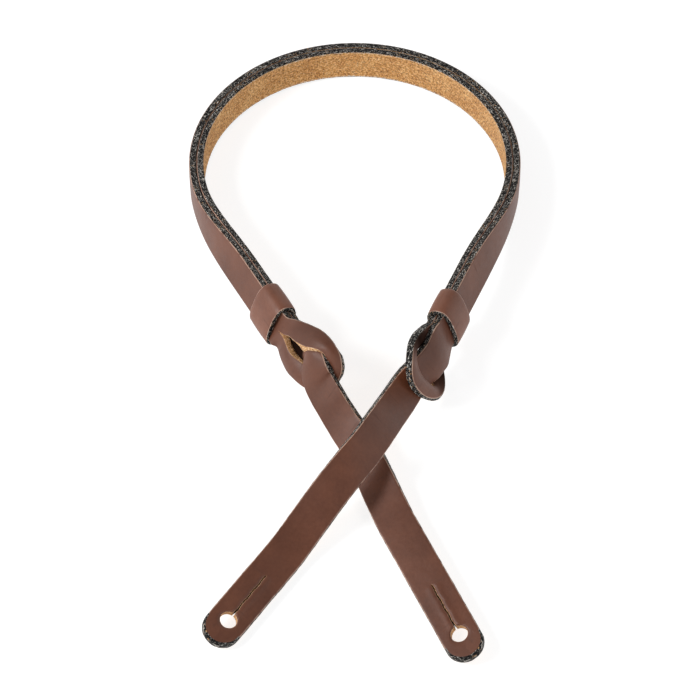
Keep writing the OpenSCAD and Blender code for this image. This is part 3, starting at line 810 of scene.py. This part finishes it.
# ------------------------------------------------------------------ pieces
strap_a = build_strap("strap_a_leather", strap_a_rows(), 11, [grain, edge, flesh, cut])
strap_b = build_strap("strap_b_leather", strap_b_rows(), 23, [grain, edge, flesh, cut])
keepers = {side: build_keeper(nm, side, [keeper_grain, edge, flesh, cut], 5 + side) for side, nm in ((L, "keeper_left_leather"), (R, "keeper_right_leather"))}
staples = {side: build_staple(nm, side, steel) for side, nm in ((L, "keeper_left_wire"), (R, "keeper_right_wire"))}

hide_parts("strap_a", "strap_a_end")
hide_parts("strap_b", "strap_b_end")
for side, nm in ((L, "left"), (R, "right")):
    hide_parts(f"keeper_{nm}")
    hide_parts(f"keeper_{nm}_staple")
    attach(keepers[side], f"slider_{nm}")
    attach(staples[side], f"slider_{nm}")
for piece, side, body in ((strap_a, R, "end_a"), (strap_b, L, "end_b")):
    a, b = at(side, FLEX - 13)[0][0] * MM, at(side, FLEX + 23)[0][0] * MM
    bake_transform(piece)

# ------------------------------------------------------------------ floor, light, camera
mid = (cad_lo + cad_hi) / 2
floor_mesh = bpy.data.meshes.new("floor")
fs = 6.0
fz = min(0.0, cad_lo.z) - 0.0002
floor_mesh.from_pydata([(-fs, -fs, fz), (fs, -fs, fz), (fs, fs, fz), (-fs, fs, fz)], [], [(0, 1, 2, 3)])
floor = bpy.data.objects.new("floor", floor_mesh)
bpy.context.scene.collection.objects.link(floor)
fm = bpy.data.materials.new("floor_white")
fm.use_nodes = True
fb = fm.node_tree.nodes["Principled BSDF"]
fb.inputs["Base Color"].default_value = (0.40, 0.40, 0.40, 1)
fb.inputs["Roughness"].default_value = 0.9
fb.inputs["Specular IOR Level"].default_value = 0.0
fb.inputs["Emission Color"].default_value = (1, 1, 1, 1)
fb.inputs["Emission Strength"].default_value = 0.78
floor_mesh.materials.append(fm)

# studio: bright low down all round, dim overhead, so flat leather keeps its depth and upright leather its sheen
world = bpy.data.worlds.new("studio")
bpy.context.scene.world = world
world.use_nodes = True
wt = world.node_tree
bg = wt.nodes["Background"]
tc = wt.nodes.new("ShaderNodeTexCoord")
sep = wt.nodes.new("ShaderNodeSeparateXYZ")
wr = wt.nodes.new("ShaderNodeValToRGB")
wt.links.new(tc.outputs["Generated"], sep.inputs[0])
wt.links.new(sep.outputs[2], wr.inputs[0])
wt.links.new(wr.outputs[0], bg.inputs["Color"])
we = wr.color_ramp.elements
we[0].position, we[0].color = 0.0, (1, 1, 1, 1)
we[1].position, we[1].color = 0.80, (0.17, 0.17, 0.175, 1)
e2 = we.new(0.48)
e2.color = (0.92, 0.92, 0.92, 1)
bg.inputs["Strength"].default_value = 0.95


def area(name, loc, target, size, power, color=(1, 1, 1)):
    l = bpy.data.lights.new(name, "AREA")
    l.shape, l.size, l.energy, l.color = "SQUARE", size, power, color
    o = bpy.data.objects.new(name, l)
    o.location = Vector(loc)
    o.rotation_euler = (Vector(target) - Vector(loc)).to_track_quat("-Z", "Y").to_euler()
    bpy.context.scene.collection.objects.link(o)
    return o


area("key", (mid.x - 0.90, mid.y - 0.22, 0.78), mid, 0.42, 11.0)
area("fill", (mid.x + 0.9, mid.y - 0.6, 0.7), mid, 0.6, 2.2)

cam_data = bpy.data.cameras.new("camera")
cam_data.sensor_width = 36.0
cam_data.lens = 36.0 * 2890.0 / 700.0
cam_data.clip_start, cam_data.clip_end = 0.01, 20
cam = bpy.data.objects.new("camera", cam_data)
target = Vector((mid.x - 0.00217, mid.y - 0.0055, 0.0))
elev, dist = math.radians(49.97), 1.25
cam.location = target + Vector((0, -dist * math.cos(elev), dist * math.sin(elev)))
cam.rotation_euler = (target - cam.location).to_track_quat("-Z", "Y").to_euler()
bpy.context.scene.collection.objects.link(cam)
bpy.context.scene.camera = cam
bpy.context.scene.view_settings.view_transform = "Standard"
